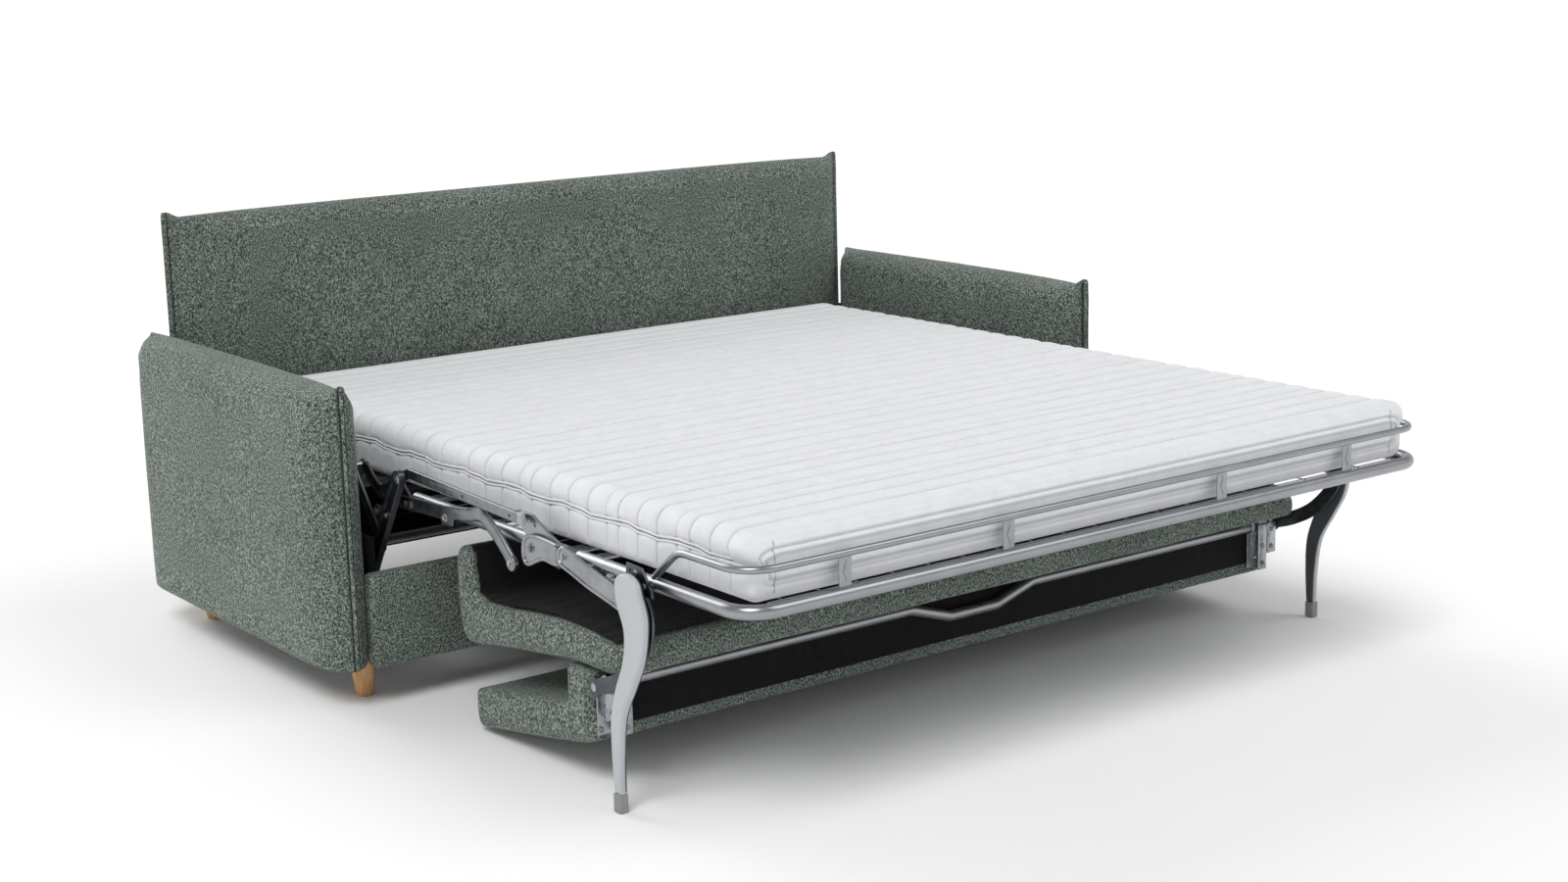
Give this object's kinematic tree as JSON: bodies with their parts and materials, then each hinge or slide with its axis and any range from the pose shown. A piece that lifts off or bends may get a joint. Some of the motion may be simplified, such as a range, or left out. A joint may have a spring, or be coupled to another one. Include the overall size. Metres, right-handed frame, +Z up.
{
  "type": "sleeper sofa with pull out bed",
  "caption": "Upholstered sofa with padded panel arms and back; a tube-framed bed with a channel-quilted mattress unfolds over the front rail on side linkages.",
  "frame": {"origin": "On the floor, under the middle of the whole sofa with its bed open.", "axes": "+X runs across the sofa to its right side as seen from the front, the sofa and the bed face -Y, +Z is up."},
  "size_m": [2.05, 2.0671, 0.899],
  "materials": {
    "cover_fabric": "melange woven upholstery fabric, matt",
    "lining_fabric": "black non-woven lining",
    "mattress_knit": "white quilted knit",
    "steel_tube": "satin steel tube",
    "dark_steel": "dark coated pressed steel",
    "zinc_steel": "zinc plated steel",
    "net_wire": "coated wire",
    "cap_plastic": "light grey moulded plastic",
    "leg_plastic": "pale blue grey moulded plastic",
    "rubber": "grey rubber",
    "beech": "clear lacquered beech"
  },
  "bodies": {
    "base": {"arm_left": "cover_fabric", "arm_right": "cover_fabric", "back_panel": "cover_fabric", "back_board": "lining_fabric", "front_rail": "cover_fabric", "rear_rail": "lining_fabric", "side_board_left": "lining_fabric", "side_board_right": "lining_fabric", "foot_front_left": "beech", "foot_front_right": "beech", "foot_rear_left": "beech", "foot_rear_right": "beech", "side_plate_left": "dark_steel", "side_plate_right": "dark_steel", "upright_left": "dark_steel", "upright_right": "dark_steel", "base_tube_front": "steel_tube", "base_tube_rear": "steel_tube"},
    "lift": {"lift_link_front_left": "dark_steel", "lift_link_front_right": "dark_steel"},
    "lift_rear": {"lift_link_rear_left": "dark_steel", "lift_link_rear_right": "dark_steel"},
    "head": {"head_frame": "steel_tube", "head_net": "net_wire", "mattress_head": "mattress_knit"},
    "fold": {"fold_frame": "dark_steel", "mattress_fold": "mattress_knit"},
    "middle": {"middle_frame": "steel_tube", "middle_net": "net_wire", "mattress_middle": "mattress_knit", "hinge_plate_left": "dark_steel", "hinge_plate_right": "dark_steel", "side_bar_left": "zinc_steel", "side_bar_right": "zinc_steel", "bar_cap_left": "cap_plastic", "bar_cap_right": "cap_plastic", "brace_left": "dark_steel", "brace_right": "dark_steel"},
    "foot": {"foot_frame": "steel_tube", "foot_net": "net_wire", "mattress_foot": "mattress_knit", "retainer_bar": "steel_tube", "long_link_left": "dark_steel", "long_link_right": "dark_steel", "swan_arm_left": "dark_steel", "swan_arm_right": "dark_steel"},
    "leg_left": {"leg_left": "leg_plastic", "leg_tip_left": "rubber"},
    "leg_right": {"leg_right": "leg_plastic", "leg_tip_right": "rubber"},
    "seat": {"seat_cushion": "cover_fabric", "seat_lining": "lining_fabric", "seat_bracket_left": "zinc_steel", "seat_bracket_right": "zinc_steel"},
    "back": {"back_cushion": "cover_fabric", "back_lining": "lining_fabric", "back_bracket_left": "zinc_steel", "back_bracket_right": "zinc_steel", "cross_tube": "steel_tube"}
  },
  "joints": [
    {"name": "bed_turn", "type": "hinge", "parent": "base", "child": "middle", "pos_m": [0, 0.13975, 0.3735], "axis": [1, 0, 0], "range_deg": [-180, 0]},
    {"name": "front_lift", "type": "hinge", "parent": "base", "child": "lift", "pos_m": [0, 0.14646, 0.30212], "axis": [1, 0, 0], "range_deg": [-125.11, 0]},
    {"name": "rear_lift", "type": "hinge", "parent": "base", "child": "lift_rear", "pos_m": [0, 0.58646, 0.30212], "axis": [1, 0, 0], "range_deg": [-125.11, 0]},
    {"name": "head_level", "type": "hinge", "parent": "lift", "child": "head", "pos_m": [0, 0.25975, 0.442], "axis": [1, 0, 0], "range_deg": [0, 125.11]},
    {"name": "bed_fold", "type": "hinge", "parent": "middle", "child": "fold", "pos_m": [0, 0.08375, 0.442], "axis": [1, 0, 0], "range_deg": [0, 90], "deforming": ["mattress_fold"]},
    {"name": "foot_fold", "type": "hinge", "parent": "middle", "child": "foot", "pos_m": [0, -0.50725, 0.403], "axis": [1, 0, 0], "range_deg": [0, 90]},
    {"name": "leg_left_fold", "type": "hinge", "parent": "foot", "child": "leg_left", "pos_m": [-0.875, -0.76225, 0.4], "axis": [1, 0, 0], "range_deg": [0, 78]},
    {"name": "leg_right_fold", "type": "hinge", "parent": "foot", "child": "leg_right", "pos_m": [0.875, -0.76225, 0.4], "axis": [1, 0, 0], "range_deg": [0, 78]},
    {"name": "seat_turn", "type": "hinge", "parent": "foot", "child": "seat", "pos_m": [0, -0.61025, 0.195], "axis": [1, 0, 0], "range_deg": [-90, 0]},
    {"name": "back_turn", "type": "hinge", "parent": "seat", "child": "back", "pos_m": [0, -0.61025, 0.195], "axis": [1, 0, 0], "range_deg": [-90, 0]}
  ],
  "couplings": [
    {"joint": "front_lift", "follows": "bed_turn", "ratio": 0.69503},
    {"joint": "rear_lift", "follows": "bed_turn", "ratio": 0.69503},
    {"joint": "head_level", "follows": "bed_turn", "ratio": -0.69503},
    {"joint": "bed_fold", "follows": "bed_turn", "ratio": -0.5},
    {"joint": "foot_fold", "follows": "bed_turn", "ratio": -0.5},
    {"joint": "leg_left_fold", "follows": "bed_turn", "ratio": -0.43333},
    {"joint": "leg_right_fold", "follows": "bed_turn", "ratio": -0.43333},
    {"joint": "seat_turn", "follows": "bed_turn", "ratio": 0.5},
    {"joint": "back_turn", "follows": "bed_turn", "ratio": 0.5}
  ]
}
